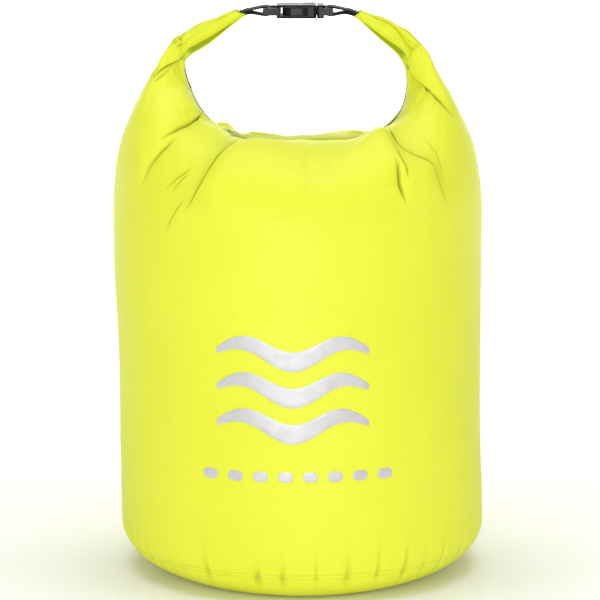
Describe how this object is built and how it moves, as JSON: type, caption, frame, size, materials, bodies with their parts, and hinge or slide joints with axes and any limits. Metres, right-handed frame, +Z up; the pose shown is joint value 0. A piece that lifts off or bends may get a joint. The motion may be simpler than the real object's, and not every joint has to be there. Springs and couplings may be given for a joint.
{
  "type": "roll-top stuff sack",
  "caption": "Round waterproof stuff sack, packed full, with its mouth rolled shut and the roll's ends clipped together by a side-release buckle into a carrying loop.",
  "frame": {"origin": "centre of the round base, on the floor that the bag stands on", "axes": "+Z up; X along the roll and the buckle; -Y is the printed front"},
  "size_m": [0.2596, 0.2526, 0.4017],
  "materials": {
    "coated_cloth": "satin coated ripstop",
    "hem_band": "matte woven",
    "seam_tape": "translucent film",
    "thread": "matte",
    "stiffener": "satin",
    "print": "silver-grey ink with a fine texture",
    "webbing": "woven",
    "buckle": "moulded acetal"
  },
  "bodies": {
    "bag": {"tube_panel": "coated_cloth", "base_panel": "coated_cloth", "base_seam_tape": "seam_tape", "base_seam_thread": "thread", "back_seam_tape": "seam_tape", "roll_middle": "coated_cloth", "hem_band_middle": "hem_band", "stiffener_middle": "stiffener", "print_waves": "print", "print_dashes": "print"},
    "left_arm": {"left_gusset": "coated_cloth", "left_roll": "coated_cloth", "left_hem_band": "hem_band", "left_stiffener": "stiffener", "left_tab": "webbing", "left_tab_stitching": "thread"},
    "right_arm": {"right_gusset": "coated_cloth", "right_roll": "coated_cloth", "right_hem_band": "hem_band", "right_stiffener": "stiffener", "right_tab": "webbing", "right_tab_stitching": "thread"},
    "housing": {"buckle_housing": "buckle"},
    "plug": {"buckle_plug": "buckle"},
    "front_prong": {"front_prong": "buckle"},
    "back_prong": {"back_prong": "buckle"}
  },
  "joints": [
    {"name": "left_arm_swing", "type": "hinge", "parent": "bag", "child": "left_arm", "pos_m": [-0.073, 0, 0.312], "axis": [0, -1, 0], "range_deg": [0, 40], "deforming": ["front_prong", "back_prong"]},
    {"name": "right_arm_swing", "type": "hinge", "parent": "bag", "child": "right_arm", "pos_m": [0.073, 0, 0.312], "axis": [0, 1, 0], "range_deg": [0, 40]},
    {"name": "housing_pivot", "type": "hinge", "parent": "left_arm", "child": "housing", "pos_m": [-0.02225, 0, 0.397], "axis": [0, 1, 0], "range_deg": [0, 40]},
    {"name": "plug_pivot", "type": "hinge", "parent": "right_arm", "child": "plug", "pos_m": [0.02225, 0, 0.397], "axis": [0, -1, 0], "range_deg": [0, 40]},
    {"name": "front_prong_press", "type": "hinge", "parent": "plug", "child": "front_prong", "pos_m": [0.0155, -0.0092, 0.397], "axis": [0, 0, -1], "range_deg": [0, 10], "stiffness_Nm_per_rad": 0.05},
    {"name": "back_prong_press", "type": "hinge", "parent": "plug", "child": "back_prong", "pos_m": [0.0155, 0.0092, 0.397], "axis": [0, 0, 1], "range_deg": [0, 10], "stiffness_Nm_per_rad": 0.05}
  ],
  "couplings": [
    {"joint": "right_arm_swing", "follows": "left_arm_swing", "ratio": 1},
    {"joint": "housing_pivot", "follows": "left_arm_swing", "ratio": 1},
    {"joint": "plug_pivot", "follows": "left_arm_swing", "ratio": 1}
  ]
}
